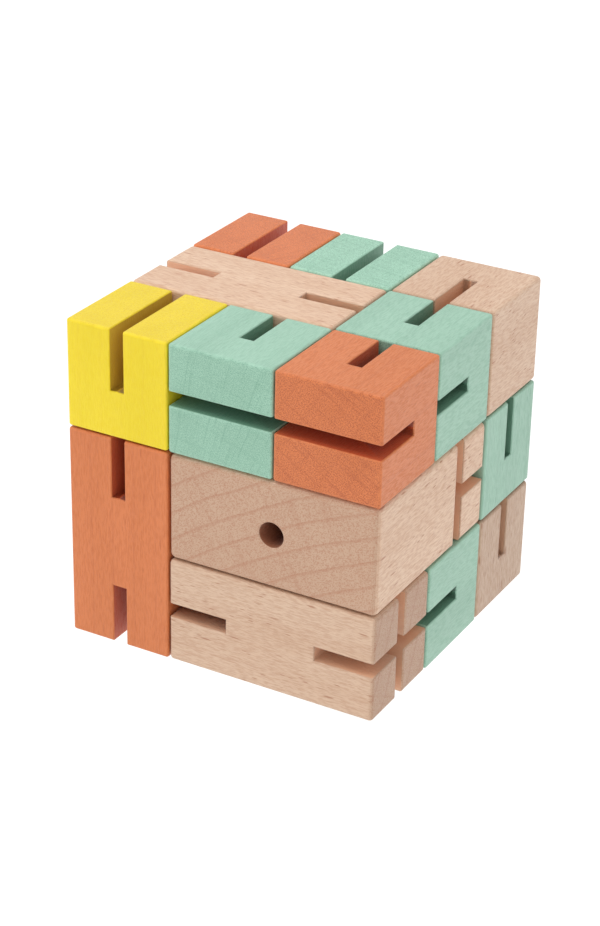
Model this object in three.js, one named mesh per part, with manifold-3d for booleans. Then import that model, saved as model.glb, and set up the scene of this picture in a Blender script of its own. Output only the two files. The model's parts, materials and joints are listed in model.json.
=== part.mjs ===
// A wooden folding-block puzzle: twenty-one slotted wooden blocks strung on elastic cord, folded up into a cube of
// three by three by three cells. Millimetres, +Z up, the origin at the middle of the cube's base. X runs to the right
// along the front, Y runs from the front to the back.
import * as THREE from "three";
import { mergeVertices } from "three/addons/utils/BufferGeometryUtils.js";
import Module from "manifold-3d";

const wasm = await Module();
wasm.setup();

// Driving dimensions
const CELL = 21; // side of one cell of the cube
const CELLS = 3; // cells along each side of the cube
const INSET = 0.15; // each block stands back this far from its cell's sides, so neighbours are 0.3 apart
const SLOT_WIDTH = 2.8;
const CORD_RADIUS = 1.1;
const CORD_CLEARANCE = 0.35;
const SLOT_DEPTH = CELL / 2 + CORD_RADIUS + CORD_CLEARANCE; // a slot reaches just past the middle of its cell
const BORE_RADIUS = 1.6;
const FRONT_HOLE_RADIUS = 2.45;
const FRONT_HOLE_DEPTH = 13.5;
const POCKET_RADIUS = 2.7; // the counterbore that a knot sits in
const POCKET_DEPTH = 4.4;
const KNOT_RADIUS = 2;
const CORD_REACH = 0.3 * CELL; // how far a cord runs from the middle of a cell into its slot
const ROUND_SIDES = 32;
const CORD_SIDES = 12;
const OVERCUT = 1; // a cutter reaches this far outside the wood that it cuts

const wood = {
  natural: new THREE.MeshStandardMaterial({ color: 0xd9ab84, roughness: 0.62, metalness: 0 }),
  mint: new THREE.MeshStandardMaterial({ color: 0x86cfae, roughness: 0.55, metalness: 0 }),
  orange: new THREE.MeshStandardMaterial({ color: 0xd2683f, roughness: 0.55, metalness: 0 }),
  yellow: new THREE.MeshStandardMaterial({ color: 0xf2d81f, roughness: 0.55, metalness: 0 }),
};
const elastic = new THREE.MeshStandardMaterial({ color: 0x2b2a2c, roughness: 0.9, metalness: 0 });

const DIRECTIONS = {
  left: new THREE.Vector3(-1, 0, 0),
  right: new THREE.Vector3(1, 0, 0),
  front: new THREE.Vector3(0, -1, 0),
  back: new THREE.Vector3(0, 1, 0),
  down: new THREE.Vector3(0, 0, -1),
  up: new THREE.Vector3(0, 0, 1),
};

// Every block: its wood, its lowest cell, its size in cells, and its slots. A slot is [side, thin]: it is sawn in from
// that side of the block, and it is SLOT_WIDTH thick along the thin axis. A bar with a slot from each end is bored
// between them. A block at the end of a limb has a knot pocket in the side named by pocket. cord lists the ways that
// the cord leaves the middle of a one-cell block.
const BLOCKS = [
  { name: "top_bar", wood: "natural", cell: [0, 1, 2], size: [2, 1, 1],
    slots: [["left", "y"], ["left", "z"], ["right", "y"], ["right", "z"]] },

  { name: "front_arm_mint_inner", wood: "mint", cell: [1, 0, 2], slots: [["back", "x"], ["front", "z"]],
    cord: ["back", "right"] },
  { name: "front_arm_orange", wood: "orange", cell: [2, 0, 2], slots: [["back", "x"], ["front", "z"]],
    cord: ["left", "back"] },
  { name: "front_arm_mint_outer", wood: "mint", cell: [2, 1, 2], slots: [["back", "x"], ["front", "z"]],
    cord: ["front", "back"] },
  { name: "front_arm_natural_hand", wood: "natural", cell: [2, 2, 2], slots: [["front", "x"]],
    cord: ["front"], pocket: "back" },

  { name: "top_yellow_block", wood: "yellow", cell: [0, 0, 2], slots: [["up", "x"]], cord: ["back"], pocket: "down" },
  { name: "top_orange_block", wood: "orange", cell: [0, 2, 2], slots: [["up", "x"]], cord: ["front"], pocket: "down" },
  { name: "top_mint_block", wood: "mint", cell: [1, 2, 2], slots: [["up", "x"]], cord: ["front"], pocket: "down" },

  { name: "hip_bar", wood: "natural", cell: [1, 0, 0], size: [2, 1, 1],
    slots: [["left", "y"], ["left", "z"], ["right", "y"], ["right", "z"]] },
  { name: "right_leg_mint", wood: "mint", cell: [2, 1, 0], slots: [["front", "z"], ["back", "x"]],
    cord: ["front", "back"] },
  { name: "right_foot_natural", wood: "natural", cell: [2, 2, 0], slots: [["up", "y"], ["down", "x"]],
    cord: ["front"] },
  { name: "left_leg_mint", wood: "mint", cell: [1, 1, 0], slots: [["front", "x"], ["back", "z"]],
    cord: ["front", "back"] },
  { name: "left_foot_natural", wood: "natural", cell: [1, 2, 0], slots: [["front", "x"]],
    cord: ["front"], pocket: "back" },

  { name: "back_arm_mint", wood: "mint", cell: [2, 2, 1], slots: [["up", "y"], ["down", "x"]],
    cord: ["front", "left"] },
  { name: "back_arm_orange", wood: "orange", cell: [1, 2, 1], slots: [["right", "z"], ["left", "y"]],
    cord: ["right", "left"] },
  { name: "back_arm_natural_hand", wood: "natural", cell: [0, 2, 1], slots: [["right", "z"]],
    cord: ["right"], pocket: "left" },

  { name: "side_arm_mint_inner", wood: "mint", cell: [0, 1, 1], slots: [["right", "y"], ["left", "z"]],
    cord: ["right", "front"] },
  { name: "side_arm_orange_bar", wood: "orange", cell: [0, 0, 0], size: [1, 1, 2],
    slots: [["up", "x"], ["down", "x"]] },
  { name: "side_arm_mint_outer", wood: "mint", cell: [0, 1, 0], slots: [["front", "x"], ["back", "z"]],
    cord: ["front", "back"] },
  { name: "side_arm_yellow_hand", wood: "yellow", cell: [0, 2, 0], slots: [["front", "x"]],
    cord: ["front"], pocket: "back" },
];
const BODY = { name: "body_block", wood: "natural", cell: [1, 0, 1], size: [2, 2, 1] };

// Solids
function solid(geometry) {
  const bare = geometry.clone();
  bare.deleteAttribute("normal");
  bare.deleteAttribute("uv");
  const merged = mergeVertices(bare, 1e-4);
  return new wasm.Manifold(
    new wasm.Mesh({
      numProp: 3,
      vertProperties: new Float32Array(merged.attributes.position.array),
      triVerts: new Uint32Array(merged.index.array),
    }),
  );
}

function geometryOf(manifold) {
  const mesh = manifold.getMesh();
  const geometry = new THREE.BufferGeometry();
  geometry.setAttribute("position", new THREE.BufferAttribute(mesh.vertProperties, 3));
  geometry.setIndex(new THREE.BufferAttribute(mesh.triVerts, 1));
  geometry.computeVertexNormals();
  return geometry;
}

function boxBetween(low, high) {
  const size = high.clone().sub(low);
  const middle = high.clone().add(low).multiplyScalar(0.5);
  return solid(new THREE.BoxGeometry(size.x, size.y, size.z).translate(middle.x, middle.y, middle.z));
}

function rodBetween(start, end, radius, sides) {
  const along = end.clone().sub(start);
  const turn = new THREE.Quaternion().setFromUnitVectors(DIRECTIONS.back, along.clone().normalize());
  const middle = start.clone().add(end).multiplyScalar(0.5);
  const rod = new THREE.CylinderGeometry(radius, radius, along.length(), sides);
  return solid(rod.applyQuaternion(turn).translate(middle.x, middle.y, middle.z));
}

function ball(middle, radius) {
  return solid(new THREE.SphereGeometry(radius, CORD_SIDES, CORD_SIDES / 2).translate(middle.x, middle.y, middle.z));
}

// Places
function sizeOf(block) {
  return new THREE.Vector3(...(block.size ?? [1, 1, 1]));
}

function middleOf(block) {
  const cell = new THREE.Vector3(...block.cell);
  const middle = cell.addScaledVector(sizeOf(block), 0.5).multiplyScalar(CELL);
  const cubeMiddle = (CELLS * CELL) / 2;
  return middle.sub(new THREE.Vector3(cubeMiddle, cubeMiddle, INSET));
}

function halfExtent(block) {
  return sizeOf(block).multiplyScalar(CELL / 2);
}

// The middle of the end cell of a block on the given side, in the block's own frame.
function endCell(block, side) {
  const reach = halfExtent(block).subScalar(CELL / 2);
  return DIRECTIONS[side].clone().multiply(reach);
}

function faceMiddle(block, side) {
  return DIRECTIONS[side].clone().multiply(halfExtent(block));
}

// Cutters and the plain block, all in the block's own frame
function plainBlock(block) {
  const half = halfExtent(block).subScalar(INSET);
  return boxBetween(half.clone().negate(), half);
}

function slotCutter(block, [side, thin]) {
  const outward = DIRECTIONS[side];
  const half = halfExtent(block).addScalar(OVERCUT);
  const low = half.clone().negate();
  const high = half.clone();
  for (const axis of ["x", "y", "z"]) {
    const floor = halfExtent(block)[axis] - SLOT_DEPTH;
    if (outward[axis] > 0) low[axis] = floor;
    if (outward[axis] < 0) high[axis] = -floor;
  }
  low[thin] = -SLOT_WIDTH / 2;
  high[thin] = SLOT_WIDTH / 2;
  return boxBetween(low, high);
}

function pocketCutter(block, side) {
  const mouth = faceMiddle(block, side).addScaledVector(DIRECTIONS[side], OVERCUT);
  const floor = faceMiddle(block, side).addScaledVector(DIRECTIONS[side], -POCKET_DEPTH);
  const bore = rodBetween(new THREE.Vector3(), mouth, BORE_RADIUS, ROUND_SIDES);
  return bore.add(rodBetween(floor, mouth, POCKET_RADIUS, ROUND_SIDES));
}

// The cord inside a one-cell block: from the middle out into each slot that it uses, and to its knot.
function cordInBlock(block) {
  const middle = new THREE.Vector3();
  let cord = ball(middle, CORD_RADIUS);
  for (const side of block.cord) {
    const end = DIRECTIONS[side].clone().multiplyScalar(CORD_REACH);
    cord = cord.add(rodBetween(middle, end, CORD_RADIUS, CORD_SIDES));
  }
  if (block.pocket) {
    const knot = faceMiddle(block, block.pocket).addScaledVector(DIRECTIONS[block.pocket], -POCKET_DEPTH / 2);
    cord = cord.add(rodBetween(middle, knot, CORD_RADIUS, CORD_SIDES)).add(ball(knot, KNOT_RADIUS));
  }
  return cord;
}

// The cord inside a bar: it runs from the middle of one end cell to the middle of the other, and out into the slots.
function cordInBar(block, from, to, exits) {
  const start = endCell(block, from);
  const end = endCell(block, to);
  let cord = rodBetween(start, end, CORD_RADIUS, CORD_SIDES);
  for (const [side, way] of exits) {
    const corner = endCell(block, side);
    const tip = corner.clone().addScaledVector(DIRECTIONS[way], CORD_REACH);
    cord = cord.add(ball(corner, CORD_RADIUS)).add(rodBetween(corner, tip, CORD_RADIUS, CORD_SIDES));
  }
  return cord;
}

const puzzle = new THREE.Group();

function place(name, block, manifold, material) {
  const mesh = new THREE.Mesh(geometryOf(manifold), material);
  mesh.name = name;
  mesh.position.copy(middleOf(block));
  puzzle.add(mesh);
}

// The blocks and the bars, each with its own length of cord
function makeBlock(block) {
  let shape = plainBlock(block);
  for (const slot of block.slots) shape = shape.subtract(slotCutter(block, slot));
  if (block.pocket) shape = shape.subtract(pocketCutter(block, block.pocket));
  return shape;
}

function boreBetweenEnds(block, from, to) {
  return rodBetween(endCell(block, from), endCell(block, to), BORE_RADIUS, ROUND_SIDES);
}

for (const block of BLOCKS.filter((each) => !each.size)) {
  place(block.name, block, makeBlock(block), wood[block.wood]);
  place(`${block.name}_cord`, block, cordInBlock(block), elastic);
}

const [topBar, hipBar, sideBar] = BLOCKS.filter((each) => each.size);

place(topBar.name, topBar, makeBlock(topBar).subtract(boreBetweenEnds(topBar, "left", "right")), wood.natural);
place("top_bar_cord", topBar, cordInBar(topBar, "left", "right", [
  ["left", "front"], ["left", "back"], ["right", "front"], ["right", "back"], ["right", "down"],
]), elastic);

place(sideBar.name, sideBar, makeBlock(sideBar).subtract(boreBetweenEnds(sideBar, "up", "down")), wood.orange);
place("side_arm_orange_bar_cord", sideBar, cordInBar(sideBar, "down", "up", [["up", "back"], ["down", "back"]]),
  elastic);

// The hip bar also has a bore in the middle of its top, which the hip cord comes down through.
const hipBore = rodBetween(new THREE.Vector3(), faceMiddle(hipBar, "up").setZ(CELL / 2 + OVERCUT), BORE_RADIUS,
  ROUND_SIDES);
const hipShape = makeBlock(hipBar).subtract(boreBetweenEnds(hipBar, "left", "right")).subtract(hipBore);
place(hipBar.name, hipBar, hipShape, wood.natural);
place("hip_bar_leg_cord", hipBar, cordInBar(hipBar, "left", "right", [["left", "back"], ["right", "back"]]), elastic);
const loopTop = CORD_RADIUS + CORD_CLEARANCE;
place("hip_bar_hip_cord", hipBar, rodBetween(
  new THREE.Vector3(0, 0, loopTop),
  new THREE.Vector3(0, 0, CELL / 2 - INSET),
  CORD_RADIUS,
  CORD_SIDES,
), elastic);

// The body: cross slots at its two back corners, a hole in its front face that the hip cord's knot is pushed into,
// and a bore down from that hole to the hip bar.
function bodyShape() {
  const half = halfExtent(BODY);
  const shoulderY = half.y - CELL / 2;
  let shape = plainBlock(BODY);
  for (const way of [-1, 1]) {
    const outer = way * (half.x + OVERCUT);
    const floor = way * (half.x - SLOT_DEPTH);
    const [lowX, highX] = way < 0 ? [outer, floor] : [floor, outer];
    shape = shape.subtract(boxBetween(
      new THREE.Vector3(lowX, shoulderY - SLOT_WIDTH / 2, -half.z - OVERCUT),
      new THREE.Vector3(highX, shoulderY + SLOT_WIDTH / 2, half.z + OVERCUT),
    ));
    shape = shape.subtract(boxBetween(
      new THREE.Vector3(lowX, shoulderY, -SLOT_WIDTH / 2),
      new THREE.Vector3(highX, half.y + OVERCUT, SLOT_WIDTH / 2),
    ));
  }
  const shoulder = new THREE.Vector3(half.x - CELL / 2, shoulderY, 0);
  const otherShoulder = shoulder.clone().setX(-shoulder.x);
  const knotPlace = new THREE.Vector3(0, CELL / 2 - half.y, 0);
  return shape
    .subtract(rodBetween(otherShoulder, shoulder, BORE_RADIUS, ROUND_SIDES))
    .subtract(rodBetween(
      new THREE.Vector3(0, -half.y - OVERCUT, 0),
      new THREE.Vector3(0, -half.y + FRONT_HOLE_DEPTH, 0),
      FRONT_HOLE_RADIUS,
      2 * ROUND_SIDES,
    ))
    .subtract(rodBetween(knotPlace, knotPlace.clone().setZ(-half.z - OVERCUT), BORE_RADIUS, ROUND_SIDES));
}

function armCordInBody() {
  const half = halfExtent(BODY);
  const right = new THREE.Vector3(half.x - CELL / 2, half.y - CELL / 2, 0);
  const left = right.clone().setX(-right.x);
  const exits = [[right, "back"], [left, "left"], [left, "up"]];
  let cord = rodBetween(left, right, CORD_RADIUS, CORD_SIDES);
  for (const [corner, way] of exits) {
    const tip = corner.clone().addScaledVector(DIRECTIONS[way], CORD_REACH);
    cord = cord.add(ball(corner, CORD_RADIUS)).add(rodBetween(corner, tip, CORD_RADIUS, CORD_SIDES));
  }
  return cord;
}

function hipCordInBody() {
  const half = halfExtent(BODY);
  const knot = new THREE.Vector3(0, CELL / 2 - half.y, 0);
  const lower = knot.clone().setZ(INSET - half.z);
  return ball(knot, KNOT_RADIUS).add(rodBetween(knot, lower, CORD_RADIUS, CORD_SIDES));
}

place(BODY.name, BODY, bodyShape(), wood.natural);
place("body_arm_cord", BODY, armCordInBody(), elastic);
place("body_hip_cord", BODY, hipCordInBody(), elastic);

export default puzzle;
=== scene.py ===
"""The looks of the folding-block cube: rounded beech blocks, bare or stained, strung on elastic cord."""
import json
import math
import random

import bmesh
import bpy
from mathutils import Matrix, Vector


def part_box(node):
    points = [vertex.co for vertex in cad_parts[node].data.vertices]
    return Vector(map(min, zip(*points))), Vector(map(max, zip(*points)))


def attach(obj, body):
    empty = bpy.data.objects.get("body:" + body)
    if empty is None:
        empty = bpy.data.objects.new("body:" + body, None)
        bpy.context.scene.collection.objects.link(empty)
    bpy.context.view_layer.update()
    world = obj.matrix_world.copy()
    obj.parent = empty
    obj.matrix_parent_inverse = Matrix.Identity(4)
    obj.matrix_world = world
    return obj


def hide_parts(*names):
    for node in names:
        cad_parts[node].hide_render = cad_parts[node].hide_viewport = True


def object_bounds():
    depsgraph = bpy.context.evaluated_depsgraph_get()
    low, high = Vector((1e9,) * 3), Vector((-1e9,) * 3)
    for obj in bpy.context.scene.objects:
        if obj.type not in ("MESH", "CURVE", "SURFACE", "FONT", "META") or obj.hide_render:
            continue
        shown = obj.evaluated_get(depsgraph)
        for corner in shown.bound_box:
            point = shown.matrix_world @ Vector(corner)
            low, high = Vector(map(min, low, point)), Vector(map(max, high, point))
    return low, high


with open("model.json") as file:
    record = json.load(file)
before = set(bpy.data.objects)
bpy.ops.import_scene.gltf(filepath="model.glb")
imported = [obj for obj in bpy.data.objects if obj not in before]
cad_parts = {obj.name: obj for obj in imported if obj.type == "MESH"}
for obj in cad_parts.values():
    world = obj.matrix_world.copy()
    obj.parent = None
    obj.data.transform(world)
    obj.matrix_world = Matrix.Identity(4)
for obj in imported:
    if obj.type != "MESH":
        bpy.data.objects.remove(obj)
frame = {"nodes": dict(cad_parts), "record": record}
cad_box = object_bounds()

MM = 0.001  # one millimetre, in metres
SEED = 11

# The camera, set by the place of the cube's corners in the photograph
CAMERA_AZIMUTH = math.radians(28.85)
CAMERA_ELEVATION = math.radians(26.45)
CAMERA_ROLL = math.radians(1.28)
CAMERA_DISTANCE = 437.6 * MM
CAMERA_SIDE_STEP = -1.2 * MM
CAMERA_RISE = -1.8 * MM
CAMERA_LENS = 91.97  # in millimetres, and so is the sensor's width
SENSOR_WIDTH = 36

# Block shapes, in metres
STAINED_ROUNDING = 0.5 * MM
NATURAL_ROUNDING = 0.8 * MM
BODY_ROUNDING = 1.2 * MM
SLOT_ROUNDING = 0.28 * MM
ROUNDING_STEPS = 4
CREASE_ANGLE = math.radians(35)  # an edge that bends by more than this is a crease
FACET_ANGLE = math.radians(1)  # facets that bend by less than this are joined
SAME_POINT = 0.001 * MM  # points closer than this are joined
ON_SURFACE = 0.02 * MM  # a point closer than this to a surface lies in it
BORE_REACH = 3 * MM  # walls closer than this to the middle line of the front hole belong to it
FLAT_FACING = 0.999  # a face lies square to the block if the largest part of its normal is over this

# Each block's wood, the way that its grain runs, and how light it is drawn: partly its own piece of wood, and
# partly painted light that lightens blocks which the lamps leave too dark
BLOCKS = {
    "body_block": ("natural", "Y", 1.0),
    "top_bar": ("natural", "X", 1.04),
    "hip_bar": ("natural", "X", 0.9),
    "front_arm_mint_inner": ("mint", "Y", 1.05),
    "front_arm_orange": ("orange", "Y", 1.0),
    "front_arm_mint_outer": ("mint", "Y", 1.0),
    "front_arm_natural_hand": ("natural", "Y", 0.94),
    "top_yellow_block": ("yellow", "Z", 1.02),
    # These two back top blocks are drawn lighter as painted light on their tops.
    "top_orange_block": ("orange", "Z", 1.14),
    "top_mint_block": ("mint", "Z", 1.19),
    "right_leg_mint": ("mint", "Y", 1.0),
    "right_foot_natural": ("natural", "Z", 0.75),
    "left_leg_mint": ("mint", "Y", 0.97),
    "left_foot_natural": ("natural", "Y", 0.92),
    "back_arm_mint": ("mint", "Z", 0.97),
    "back_arm_orange": ("orange", "X", 1.0),
    "back_arm_natural_hand": ("natural", "X", 1.0),
    "side_arm_mint_inner": ("mint", "X", 1.0),
    "side_arm_orange_bar": ("orange", "Z", 1.0),
    "side_arm_mint_outer": ("mint", "Y", 0.98),
    "side_arm_yellow_hand": ("yellow", "Y", 0.98),
}
# Turns that bring each way of the grain onto Z
GRAIN_TURNS = {
    "X": Matrix.Rotation(math.radians(-90), 3, "Y"),
    "Y": Matrix.Rotation(math.radians(90), 3, "X"),
    "Z": Matrix.Identity(3),
}
PITH_NEAR = 60  # a block's middle is at least this many millimetres from the middle of its tree
PITH_FAR = 160
BODY_PLACE = Vector((-80, -150, 0))  # the body block's place in its tree
RING_RADIUS = 110  # a typical distance from the pith, in millimetres
GRAIN_SHIFT = 400  # blocks are cut from places up to this many millimetres apart along the tree
END_GRAIN_GAIN = 2  # how fast end grain comes in as a face turns to look along the grain
END_GRAIN_LOSS = 0.7  # how much of it is then taken off, so that long grain has none

# Linear colours of bare wood and of each stain: the plain one, and those that are laid over it
WOOD = {
    "plain": (0.78, 0.55, 0.39),
    "dark": (0.655, 0.41, 0.265),
    "mark": (0.42, 0.165, 0.085),
    "end": (0.50, 0.315, 0.21),
    # The slot-wall colour is painted shade over raw wood: a redder, deeper colour inside the slots.
    "sawn_shade": (0.88, 0.50, 0.31),
    # The bore's colour is painted shade, which draws the wall of the body's hole dark.
    "bored": (0.34, 0.11, 0.05),
}
# Each stain's slot-wall colour is painted shade, darker and more saturated than its plain colour.
STAINS = {
    "mint": {"plain": (0.325, 0.545, 0.415), "mark": (0.10, 0.27, 0.175), "sawn_shade": (0.07, 0.22, 0.13)},
    "orange": {"plain": (0.655, 0.185, 0.05), "mark": (0.33, 0.05, 0.012), "sawn_shade": (0.52, 0.06, 0.02)},
    "yellow": {"plain": (0.83, 0.64, 0.004), "mark": (0.73, 0.49, 0.006), "sawn_shade": (0.50, 0.26, 0.04)},
}
# A stain's pale colour is its plain one times the gain, with the lift added, up to the limit
PALE_GAIN = 1.12
PALE_LIFT = 0.015
PALE_LIMIT = 0.95

# Layers of colour over the plain one, in order: the colour, how much of it shows at most, and the parts
# of the pattern that it follows
NATURAL_LAYERS = (
    ("dark", 0.45, ("board",)),
    ("dark", 0.4, ("streaks",)),
    ("mark", 0.3, ("fibres", "long")),
    ("mark", 0.06, ("rings",)),
    ("end", 0.75, ("end",)),
    ("mark", 0.36, ("rings", "end")),
    ("mark", 0.2, ("lines", "end")),
    ("mark", 0.55, ("pores", "end")),
    ("mark", 1.0, ("ray_strength", "rays")),
    # Painted shade on the slot walls, then down the bore
    ("sawn_shade", 0.85, ("inside",)),
    ("bored", 0.9, ("bored",)),
)
STAINED_LAYERS = (
    ("pale", 0.5, ("board",)),
    ("mark", 0.18, ("fibres",)),
    ("mark", 0.1, ("rings",)),
    ("mark", 0.25, ("lines", "end")),
    ("mark", 0.22, ("rays",)),
    ("mark", 0.6, ("pores", "end")),
    # Paler rounded edges: worn stain and a painted highlight along them
    ("pale", 0.5, ("rounded", "rubbed_and_highlight")),
    # Painted shade on the slot walls
    ("sawn_shade", 0.65, ("inside",)),
)

# Parts of the pattern made of noise: the size of its blobs, in millimetres round the rings, across them
# and along the grain, its detail, and the values of the noise where the part starts and where it is full
NOISES = {
    "board": ((10, 8, 60), 1, 0.3, 0.7),
    "fibres": ((0.22, 0.26, 1.6), 4, 0.4, 0.64),
    "streaks": ((0.45, 0.5, 4), 2, 0.5, 0.68),
    "lines": ((0.45, 12, 30), 3, 0.52, 0.68),
    "pores": ((0.17, 0.19, 0.5), 2, 0.48, 0.6),
    "ray_patches": ((5, 6, 14), 2, 0.4, 0.6),
    # Patches along the edges that come out paler: worn stain and painted highlight
    "rubbed_and_highlight": ((1.5, 1.5, 3), 2, 0.35, 0.65),
}

# Rays: how far apart they are, in millimetres the same three ways, and the share of that where one ends
FINE_RAYS = ((0.6, 0.9, 3.6), 0.22)
BROAD_RAYS = ((1.4, 1.6, 9), 0.16)
RAY_CORE = 0.4  # the share of a ray that has its full colour
RAY_STRENGTH = 0.75  # how much the rays of bare wood show
RAY_STRENGTH_LOST = 0.5  # how much less they show on end grain

# Growth rings. The three places in a ring run from 0 at its inner side to 1 at its outer side
RING_PERIOD = 4.4  # in millimetres
RING_STRAY = 1.2  # how far they stray, in millimetres
RING_STRAY_SIZE = (9, 9, 60)
RING_STRAY_DETAIL = 2
RING_DARKENS = 0.8
RING_DARK = 0.96
RING_FADES = 0.975

# How wood takes the light
WOOD_SHINE = 0.5
WOOD_FUZZ = 0.12  # pale haze that the loose fibres give at a shallow angle
WOOD_FUZZ_ROUGHNESS = 0.4
NATURAL_ROUGHNESS = 0.42
STAINED_ROUGHNESS = 0.38
FIBRE_ROUGHNESS = 0.2  # added on a fibre
WOOD_BUMP = 0.5
WOOD_RELIEF = 0.05 * MM
PORE_SINK = 0.6  # a pore's depth, as a share of a fibre's height
RAY_SINK = 0.5  # a ray's depth, as a share of a pore's

# How the cord's braid looks
CORD_COLOUR = (0.03, 0.029, 0.031)
CORD_THREAD = (0.085, 0.083, 0.088)
CORD_ROUGHNESS = 0.85
THREAD_SLANTS = ((1, 1, 1), (1, -1, -1), (-1, -1, 1))
THREAD_RATE = 9.5 / MM  # how fast the threads repeat, in radians per metre along each axis
THREAD_FOOT = 0.2  # a thread starts to rise here on its wave, which runs from -1 to 1
THREAD_POLISH = 0.15  # roughness lost on top of a thread
THREAD_BUMP = 0.6
THREAD_RELIEF = 0.08 * MM

# Cords and knots, in metres
CORD_VOXEL = 0.15 * MM
CORD_SOFTENING = 3  # rounds of smoothing
KNOT_RADIUS = 2 * MM
KNOT_CORE = 0.55  # the ball left inside the knot, as a share of the first one
KNOT_STEPS = 72
KNOT_LIFT = 1.6  # how far the trefoil rises and falls, in its own units
TREFOIL_REACH = 3  # how far out the trefoil goes, in its own units
STRAND_RADIUS = 0.62 * MM
STRAND_SIDES = 10
# Each cord that ends in a knot, and the way that its knotted end points
KNOTS = {
    "body_hip_cord": Vector((0, 0, 1)),
    "front_arm_natural_hand_cord": Vector((0, 1, 0)),
    "top_yellow_block_cord": Vector((0, 0, -1)),
    "top_orange_block_cord": Vector((0, 0, -1)),
    "top_mint_block_cord": Vector((0, 0, -1)),
    "left_foot_natural_cord": Vector((0, 1, 0)),
    "back_arm_natural_hand_cord": Vector((-1, 0, 0)),
    "side_arm_yellow_hand_cord": Vector((0, 1, 0)),
}

# Floor and light, with lengths in metres
FLOOR_SIZE = 6
FLOOR_DROP = 45 * MM  # the limbs fold to 42 mm below the base, as they do when the cube is held in the hand
FLOOR_GLOW = 0.82
FLOOR_WHITE = 0.28
FLOOR_ROUGHNESS = 0.9
SKY_STRENGTH = 0.8
KEY_PLACE = (-0.3, -0.28, 1.0)
KEY_TARGET = (0, 0, 0.03)
KEY_SIZE = 0.6
KEY_POWER = 4.4

# The Mix node's sockets for colours, which share their names with its sockets for numbers
MIX_COLOURS = (6, 7)
MIX_RESULT = 2


def add_object(name, data):
    """A new object in the scene."""
    thing = bpy.data.objects.new(name, data)
    bpy.context.scene.collection.objects.link(thing)
    return thing


# Shader nodes
def link(tree, value, socket):
    """Puts a plain value, or another node's output, into a socket."""
    if isinstance(value, bpy.types.NodeSocket):
        tree.links.new(value, socket)
    else:
        socket.default_value = value


def maths(tree, operation, first, second=0.0):
    node = tree.nodes.new("ShaderNodeMath")
    node.operation = operation
    link(tree, first, node.inputs[0])
    link(tree, second, node.inputs[1])
    return node.outputs[0]


def vector_maths(tree, operation, first, second, result="Vector"):
    node = tree.nodes.new("ShaderNodeVectorMath")
    node.operation = operation
    link(tree, first, node.inputs[0])
    link(tree, second, node.inputs[1])
    return node.outputs[result]


def attribute(tree, name, result):
    node = tree.nodes.new("ShaderNodeAttribute")
    node.attribute_name = name
    return node.outputs[result]


def smooth_step(tree, value, start, end):
    """0 before start, 1 after end, and a smooth rise between them. It falls where end is below start."""
    node = tree.nodes.new("ShaderNodeMapRange")
    node.interpolation_type = "SMOOTHSTEP"
    link(tree, value, node.inputs["Value"])
    node.inputs["From Min"].default_value = min(start, end)
    node.inputs["From Max"].default_value = max(start, end)
    node.inputs["To Min"].default_value = float(start > end)
    node.inputs["To Max"].default_value = float(start < end)
    return node.outputs["Result"]


def mixed(tree, factor, first, second, blend="MIX"):
    """A colour between first and second. Plain colours are given as three numbers."""
    node = tree.nodes.new("ShaderNodeMix")
    node.data_type = "RGBA"
    node.blend_type = blend
    link(tree, factor, node.inputs["Factor"])
    for value, socket in zip((first, second), MIX_COLOURS):
        link(tree, (*value, 1) if isinstance(value, tuple) else value, node.inputs[socket])
    return node.outputs[MIX_RESULT]


def noise(tree, place, size, detail):
    """Noise with blobs of that size, in millimetres round the rings, across them and along the grain."""
    node = tree.nodes.new("ShaderNodeTexNoise")
    link(tree, vector_maths(tree, "DIVIDE", place, size), node.inputs["Vector"])
    node.inputs["Scale"].default_value = 1
    node.inputs["Detail"].default_value = detail
    return node.outputs["Fac"]


def noise_part(tree, place, name):
    """The part of the pattern with that name, from 0 to 1."""
    size, detail, start, full = NOISES[name]
    return smooth_step(tree, noise(tree, place, size, detail), start, full)


def rays(tree, place, spacing, share):
    """The rays of the wood, thin plates that reach out from the pith: 1 inside one, 0 outside. They show as
    short dashes along the grain, and on end grain as fine lines across the rings."""
    node = tree.nodes.new("ShaderNodeTexVoronoi")
    link(tree, vector_maths(tree, "DIVIDE", place, spacing), node.inputs["Vector"])
    node.inputs["Scale"].default_value = 1
    return smooth_step(tree, node.outputs["Distance"], share, share * RAY_CORE)


def tree_place(tree):
    """Where a point lies in its tree, in millimetres: round the rings, out from the pith, and along
    the grain."""
    parts = tree.nodes.new("ShaderNodeSeparateXYZ")
    link(tree, attribute(tree, "grain_place", "Vector"), parts.inputs["Vector"])
    x, y, z = parts.outputs
    squares = maths(tree, "ADD", maths(tree, "MULTIPLY", x, x), maths(tree, "MULTIPLY", y, y))
    place = tree.nodes.new("ShaderNodeCombineXYZ")
    turned = maths(tree, "MULTIPLY", maths(tree, "ARCTAN2", y, x), RING_RADIUS)
    for value, socket in zip((turned, maths(tree, "SQRT", squares), z), place.inputs):
        link(tree, value, socket)
    return place.outputs["Vector"]


def growth_rings(tree, place):
    """Growth rings: each darkens outwards to 1 and ends sharply."""
    parts = tree.nodes.new("ShaderNodeSeparateXYZ")
    link(tree, place, parts.inputs["Vector"])
    stray = maths(tree, "MULTIPLY", noise(tree, place, RING_STRAY_SIZE, RING_STRAY_DETAIL), RING_STRAY)
    radius = maths(tree, "ADD", parts.outputs["Y"], stray)
    ring = maths(tree, "FRACT", maths(tree, "DIVIDE", radius, RING_PERIOD))
    rise = smooth_step(tree, ring, RING_DARKENS, RING_DARK)
    drop = smooth_step(tree, ring, 1, RING_FADES)
    return maths(tree, "MULTIPLY", rise, drop)


def new_material(name):
    material = bpy.data.materials.new(name)
    material.use_nodes = True
    shader = material.node_tree.nodes["Principled BSDF"]
    return material, material.node_tree, shader


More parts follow.
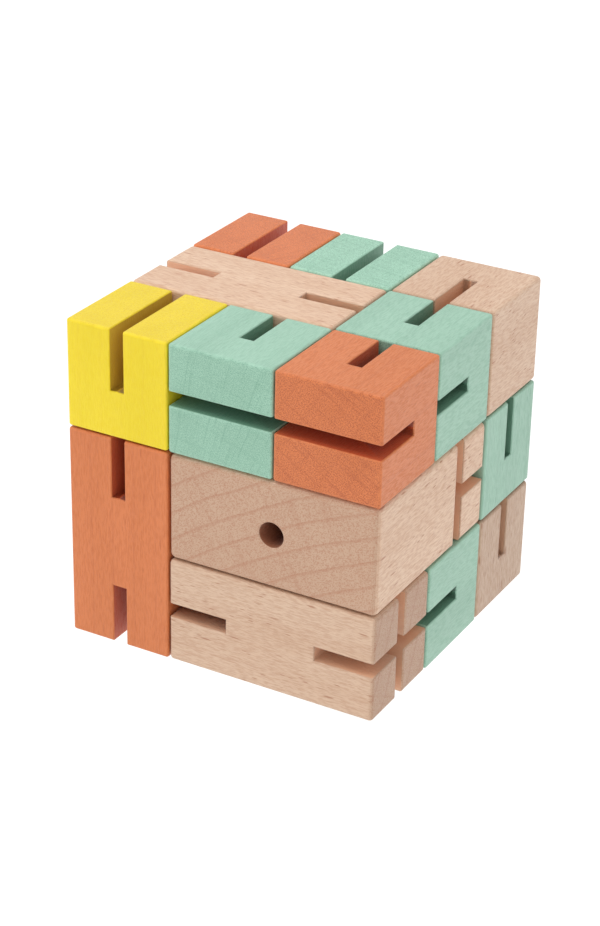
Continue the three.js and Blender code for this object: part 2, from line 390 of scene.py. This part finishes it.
def add_bump(tree, shader, height, strength, depth):
    bump = tree.nodes.new("ShaderNodeBump")
    bump.inputs["Strength"].default_value = strength
    bump.inputs["Distance"].default_value = depth
    link(tree, height, bump.inputs["Height"])
    link(tree, bump.outputs["Normal"], shader.inputs["Normal"])


def faded(tree, share, *parts):
    """The parts and a share of them, multiplied together."""
    for part in parts:
        share = maths(tree, "MULTIPLY", part, share)
    return share


def layered(tree, pattern, layers, colours):
    """The plain colour with the layers laid over it in turn."""
    colour = colours["plain"]
    for name, share, parts in layers:
        cover = faded(tree, share, *(pattern[part] for part in parts))
        colour = mixed(tree, cover, colour, colours[name])
    return colour


def wood_pattern(tree):
    """The parts of the pattern that every block shares, each from 0 to 1, the block's lightness, part of it
    painted light, and the place in the tree."""
    place = tree_place(tree)
    end_grain = attribute(tree, "end_grain", "Fac")
    fine_rays = maths(tree, "MULTIPLY", rays(tree, place, *FINE_RAYS), noise_part(tree, place, "ray_patches"))
    return {
        "place": place,
        "end": end_grain,
        "long": maths(tree, "SUBTRACT", 1.0, end_grain),
        "inside": attribute(tree, "inside", "Fac"),
        "tone_and_light": attribute(tree, "tone_and_light", "Fac"),
        "board": noise_part(tree, place, "board"),
        "fibres": noise_part(tree, place, "fibres"),
        "rings": growth_rings(tree, place),
        "lines": noise_part(tree, place, "lines"),
        "rays": maths(tree, "MAXIMUM", fine_rays, rays(tree, place, *BROAD_RAYS)),
        "pores": noise_part(tree, place, "pores"),
    }


def wood_height(tree, pattern):
    """How high the surface stands: fibres rise on long grain, and rays and pores sink everywhere."""
    fibres = faded(tree, 1.0, pattern["fibres"], pattern["long"])
    sunk = maths(tree, "ADD", faded(tree, RAY_SINK, pattern["rays"]), pattern["pores"])
    return maths(tree, "SUBTRACT", fibres, faded(tree, PORE_SINK, sunk))


def finish_wood(tree, shader, pattern, colour, roughness):
    """Sets the block's lightness, partly its own and partly painted light, a roughness that follows the
    fibres, and the bump.
    """
    shader.inputs["Specular IOR Level"].default_value = WOOD_SHINE
    shader.inputs["Sheen Weight"].default_value = WOOD_FUZZ
    shader.inputs["Sheen Roughness"].default_value = WOOD_FUZZ_ROUGHNESS
    toned = mixed(tree, 1.0, colour, pattern["tone_and_light"], "MULTIPLY")
    link(tree, toned, shader.inputs["Base Color"])
    rough = maths(tree, "ADD", faded(tree, FIBRE_ROUGHNESS, pattern["fibres"]), roughness)
    link(tree, rough, shader.inputs["Roughness"])
    add_bump(tree, shader, wood_height(tree, pattern), WOOD_BUMP, WOOD_RELIEF)


def natural_wood():
    """Bare beech, darker in its rays and pores and on end grain, with painted shade on the slot walls and
    down the bore.
    """
    material, tree, shader = new_material("natural_beech")
    pattern = wood_pattern(tree)
    lost = faded(tree, RAY_STRENGTH_LOST, pattern["end"])
    pattern["ray_strength"] = maths(tree, "SUBTRACT", RAY_STRENGTH, lost)
    pattern["streaks"] = noise_part(tree, pattern["place"], "streaks")
    # Painted shade down the bore
    pattern["bored"] = attribute(tree, "bored", "Fac")
    colour = layered(tree, pattern, NATURAL_LAYERS, WOOD)
    finish_wood(tree, shader, pattern, colour, NATURAL_ROUGHNESS)
    return material


def stained_wood(name):
    """Beech under a thin matt stain that lets the grain show, a little lighter at the edges from worn stain
    and a painted highlight, with painted shade on the slot walls.
    """
    stain = STAINS[name]
    pale = tuple(min(PALE_LIMIT, PALE_GAIN * channel + PALE_LIFT) for channel in stain["plain"])
    material, tree, shader = new_material(f"{name}_beech")
    pattern = wood_pattern(tree)
    pattern["rounded"] = attribute(tree, "rounded", "Fac")
    # Where the edges come out paler: worn stain and painted highlight
    pattern["rubbed_and_highlight"] = noise_part(tree, pattern["place"], "rubbed_and_highlight")
    colour = layered(tree, pattern, STAINED_LAYERS, {**stain, "pale": pale})
    finish_wood(tree, shader, pattern, colour, STAINED_ROUGHNESS)
    return material


def braided_elastic():
    """Dark elastic in a braided cover: three sets of slanting threads that cross."""
    material, tree, shader = new_material("elastic_braid")
    place = tree.nodes.new("ShaderNodeTexCoord").outputs["Object"]
    threads = []
    for slant in THREAD_SLANTS:
        along = vector_maths(tree, "DOT_PRODUCT", place, slant, "Value")
        threads.append(maths(tree, "SINE", maths(tree, "MULTIPLY", along, THREAD_RATE)))
    first, second, third = threads
    weave = maths(tree, "MAXIMUM", maths(tree, "MAXIMUM", first, second), third)
    raised = smooth_step(tree, weave, THREAD_FOOT, 1)
    link(tree, mixed(tree, raised, CORD_COLOUR, CORD_THREAD), shader.inputs["Base Color"])
    rough = maths(tree, "SUBTRACT", CORD_ROUGHNESS, maths(tree, "MULTIPLY", raised, THREAD_POLISH))
    link(tree, rough, shader.inputs["Roughness"])
    add_bump(tree, shader, raised, THREAD_BUMP, THREAD_RELIEF)
    return material


# Block shapes
def depth_of(point, half):
    """How deep a point lies inside the plain box of a block with those half sizes."""
    return min(half[axis] - abs(point[axis]) for axis in range(3))


def on_side(face, half):
    """True if the face lies in one outer side of its block."""
    return max(depth_of(corner.co, half) for corner in face.verts) < ON_SURFACE


def bare_shape(node, middle, half, rounding):
    """The CAD block about its own middle, its flat facets joined, with a bevel weight on each edge that
    is rounded."""
    shape = bmesh.new()
    shape.from_mesh(frame["nodes"][node].data)
    bmesh.ops.translate(shape, verts=shape.verts, vec=-middle)
    bmesh.ops.remove_doubles(shape, verts=shape.verts, dist=SAME_POINT)
    bmesh.ops.dissolve_limit(shape, angle_limit=FACET_ANGLE, verts=shape.verts, edges=shape.edges)
    weights = shape.edges.layers.float.new("bevel_weight_edge")
    for edge in shape.edges:
        creased = edge.is_manifold and edge.calc_face_angle() > CREASE_ANGLE
        outer = [on_side(face, half) for face in edge.link_faces]
        if creased and edge.is_convex and any(outer):
            edge[weights] = 1 if all(outer) else SLOT_ROUNDING / rounding
        edge.smooth = not creased or edge.is_convex
    for face in shape.faces:
        face.smooth = True
    mesh = bpy.data.meshes.new(node)
    shape.to_mesh(mesh)
    shape.free()
    return mesh


def apply_modifiers(piece):
    """Makes the piece's modifiers real."""
    graph = bpy.context.evaluated_depsgraph_get()
    finished = bpy.data.meshes.new_from_object(piece.evaluated_get(graph))
    piece.modifiers.clear()
    piece.data = finished


def mark_grain(mesh, node, half, rounding, chance):
    """Stores where each point lies in its tree, which faces are end grain, slot or bore walls that get
    painted shade, or rounded, and the block's lightness, part of it painted light."""
    way, tone_and_light = BLOCKS[node][1:]
    turn = GRAIN_TURNS[way]
    angle = chance.uniform(0, math.tau)
    reach = chance.uniform(PITH_NEAR, PITH_FAR)
    place = Vector((math.cos(angle), math.sin(angle), 0)) * reach
    if node == "body_block":
        place = BODY_PLACE.copy()
    place.z = chance.uniform(0, GRAIN_SHIFT)
    grain = mesh.attributes.new("grain_place", "FLOAT_VECTOR", "POINT")
    grain.data.foreach_set("vector", [c for v in mesh.vertices for c in turn @ v.co / MM + place])
    marks = {"end_grain": [], "inside": [], "bored": [], "rounded": [], "tone_and_light": []}
    for face in mesh.polygons:
        flat = max(abs(c) for c in face.normal) > FLAT_FACING
        # Faces deep inside the block, the slot and bore walls, get painted shade
        sawn_shade = depth_of(face.center, half) > rounding
        end_grain = abs((turn @ face.normal).z) * END_GRAIN_GAIN - END_GRAIN_LOSS
        marks["end_grain"].append(min(1, max(0, end_grain)))
        in_bore = node == "body_block" and math.hypot(face.center.x, face.center.z) < BORE_REACH
        marks["inside"].append(float(sawn_shade and not in_bore))
        marks["bored"].append(float(sawn_shade and in_bore))
        marks["rounded"].append(float(not flat and not sawn_shade))
        # The block's lightness, partly painted light
        marks["tone_and_light"].append(tone_and_light)
    for name, values in marks.items():
        mesh.attributes.new(name, "FLOAT", "FACE").data.foreach_set("value", values)


def make_block(node, material, chance):
    """The CAD block with its edges rounded."""
    low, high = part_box(node)
    middle = (low + high) / 2
    half = (high - low) / 2
    rounding = NATURAL_ROUNDING if BLOCKS[node][0] == "natural" else STAINED_ROUNDING
    if node == "body_block":
        rounding = BODY_ROUNDING
    piece = add_object(f"{node}_wood", bare_shape(node, middle, half, rounding))
    piece.location = middle
    bevel = piece.modifiers.new("rounding", "BEVEL")
    bevel.limit_method = "WEIGHT"
    bevel.width = rounding
    bevel.segments = ROUNDING_STEPS
    bevel.use_clamp_overlap = False
    bevel.loop_slide = False  # sliding folds the rim of a round hole over itself
    weighted = piece.modifiers.new("shading", "WEIGHTED_NORMAL")
    weighted.keep_sharp = True
    apply_modifiers(piece)
    mark_grain(piece.data, node, half, rounding, chance)
    piece.data.materials.clear()
    piece.data.materials.append(material)
    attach(piece, node)
    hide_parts(node)


# Cords
def knot_place(node):
    """The middle of the knot at the end of a cord. A limb's knot is in line with the middle of its block, and
    the body's with the middle of the cord."""
    owner = node if node == "body_hip_cord" else node.removesuffix("_cord")
    low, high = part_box(owner)
    middle = (low + high) / 2
    way = KNOTS[node]
    end = max(corner.dot(way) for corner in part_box(node)) - KNOT_RADIUS
    return middle + way * (end - middle.dot(way))


def trefoil(share):
    """A point on a trefoil, the closed form of an overhand knot, that far along it."""
    angle = math.tau * share
    size = (KNOT_RADIUS - STRAND_RADIUS) / TREFOIL_REACH
    return size * Vector((
        math.sin(angle) + 2 * math.sin(2 * angle),
        math.cos(angle) - 2 * math.cos(2 * angle),
        -KNOT_LIFT * math.sin(3 * angle),
    ))


def add_knot(shape, place, way):
    """Shrinks the ball that stands for a knot, and winds a strand round it."""
    for vert in shape.verts:
        if (vert.co - place).length < KNOT_RADIUS + ON_SURFACE:
            vert.co = place.lerp(vert.co, KNOT_CORE)
    facing = way.to_track_quat("Z", "Y")
    rings = []
    for step in range(KNOT_STEPS):
        spot = trefoil(step / KNOT_STEPS)
        along = (trefoil((step + 1) / KNOT_STEPS) - spot).normalized()
        side = along.cross(spot).normalized()
        out = side.cross(along)
        ring = []
        for corner in range(STRAND_SIDES):
            angle = math.tau * corner / STRAND_SIDES
            rim = (side * math.cos(angle) + out * math.sin(angle)) * STRAND_RADIUS
            ring.append(shape.verts.new(place + facing @ (spot + rim)))
        rings.append(ring)
    for ring, following in zip(rings, rings[1:] + rings[:1]):
        for corner in range(STRAND_SIDES):
            shape.faces.new((ring[corner - 1], ring[corner], following[corner], following[corner - 1]))


def make_cord(node, body, material):
    """The CAD cord remade with a fine, even skin, and with its knot wound out of the same cord."""
    mesh = frame["nodes"][node].data.copy()
    if node in KNOTS:
        shape = bmesh.new()
        shape.from_mesh(mesh)
        add_knot(shape, knot_place(node), KNOTS[node])
        bmesh.ops.recalc_face_normals(shape, faces=shape.faces)
        shape.to_mesh(mesh)
        shape.free()
    piece = add_object(f"{node}_braid", mesh)
    skin = piece.modifiers.new("skin", "REMESH")
    skin.mode = "VOXEL"
    skin.voxel_size = CORD_VOXEL
    skin.use_smooth_shade = True
    soften = piece.modifiers.new("soften", "SMOOTH")
    soften.iterations = CORD_SOFTENING
    apply_modifiers(piece)
    piece.data.materials.clear()
    piece.data.materials.append(material)
    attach(piece, body)
    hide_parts(node)


# Floor, light and camera
def make_floor():
    mesh = bpy.data.meshes.new("floor")
    reach = FLOOR_SIZE / 2
    corners = [(-reach, -reach), (reach, -reach), (reach, reach), (-reach, reach)]
    mesh.from_pydata([(x, y, -FLOOR_DROP) for x, y in corners], [], [(0, 1, 2, 3)])
    floor = add_object("floor", mesh)
    material, _, shader = new_material("pale_floor")
    shader.inputs["Base Color"].default_value = (FLOOR_WHITE, FLOOR_WHITE, FLOOR_WHITE, 1)
    shader.inputs["Roughness"].default_value = FLOOR_ROUGHNESS
    shader.inputs["Emission Color"].default_value = (1, 1, 1, 1)
    shader.inputs["Emission Strength"].default_value = FLOOR_GLOW
    mesh.materials.append(material)


def make_key_light():
    """A square light that looks at the cube."""
    lamp = bpy.data.lights.new("key", "AREA")
    lamp.shape = "SQUARE"
    lamp.size = KEY_SIZE
    lamp.energy = KEY_POWER
    light = add_object("key", lamp)
    light.location = KEY_PLACE
    aim = Vector(KEY_TARGET) - Vector(KEY_PLACE)
    light.rotation_euler = aim.to_track_quat("-Z", "Y").to_euler()


def make_sky():
    world = bpy.data.worlds.new("studio")
    world.use_nodes = True
    background = world.node_tree.nodes["Background"]
    background.inputs["Color"].default_value = (1, 1, 1, 1)
    background.inputs["Strength"].default_value = SKY_STRENGTH
    bpy.context.scene.world = world


def make_camera():
    """The camera looks at the middle of the cube from the front right, from above, and leans a little."""
    low, high = cad_box
    middle = (low + high) / 2
    flat = math.cos(CAMERA_ELEVATION)
    back = Vector((
        math.sin(CAMERA_AZIMUTH) * flat,
        -math.cos(CAMERA_AZIMUTH) * flat,
        math.sin(CAMERA_ELEVATION),
    ))
    level = Vector((0, 0, 1)).cross(back).normalized()
    upright = back.cross(level)
    right = level * math.cos(CAMERA_ROLL) + upright * math.sin(CAMERA_ROLL)
    up = upright * math.cos(CAMERA_ROLL) - level * math.sin(CAMERA_ROLL)
    place = middle + back * CAMERA_DISTANCE + right * CAMERA_SIDE_STEP + up * CAMERA_RISE
    lens = bpy.data.cameras.new("camera")
    lens.lens = CAMERA_LENS
    lens.sensor_width = SENSOR_WIDTH
    camera = add_object("camera", lens)
    camera.matrix_world = Matrix.Translation(place) @ Matrix((right, up, back)).transposed().to_4x4()
    bpy.context.scene.camera = camera


woods = {name: stained_wood(name) for name in STAINS}
woods["natural"] = natural_wood()
elastic = braided_elastic()
chance = random.Random(SEED)

for node, (wood, _, _) in BLOCKS.items():
    make_block(node, woods[wood], chance)

for body, parts in frame["record"]["behaviour"]["bodies"].items():
    for node in parts:
        if node.endswith("_cord"):
            make_cord(node, body, elastic)

make_floor()
make_sky()
make_key_light()
make_camera()
bpy.context.scene.view_settings.view_transform = "Standard"
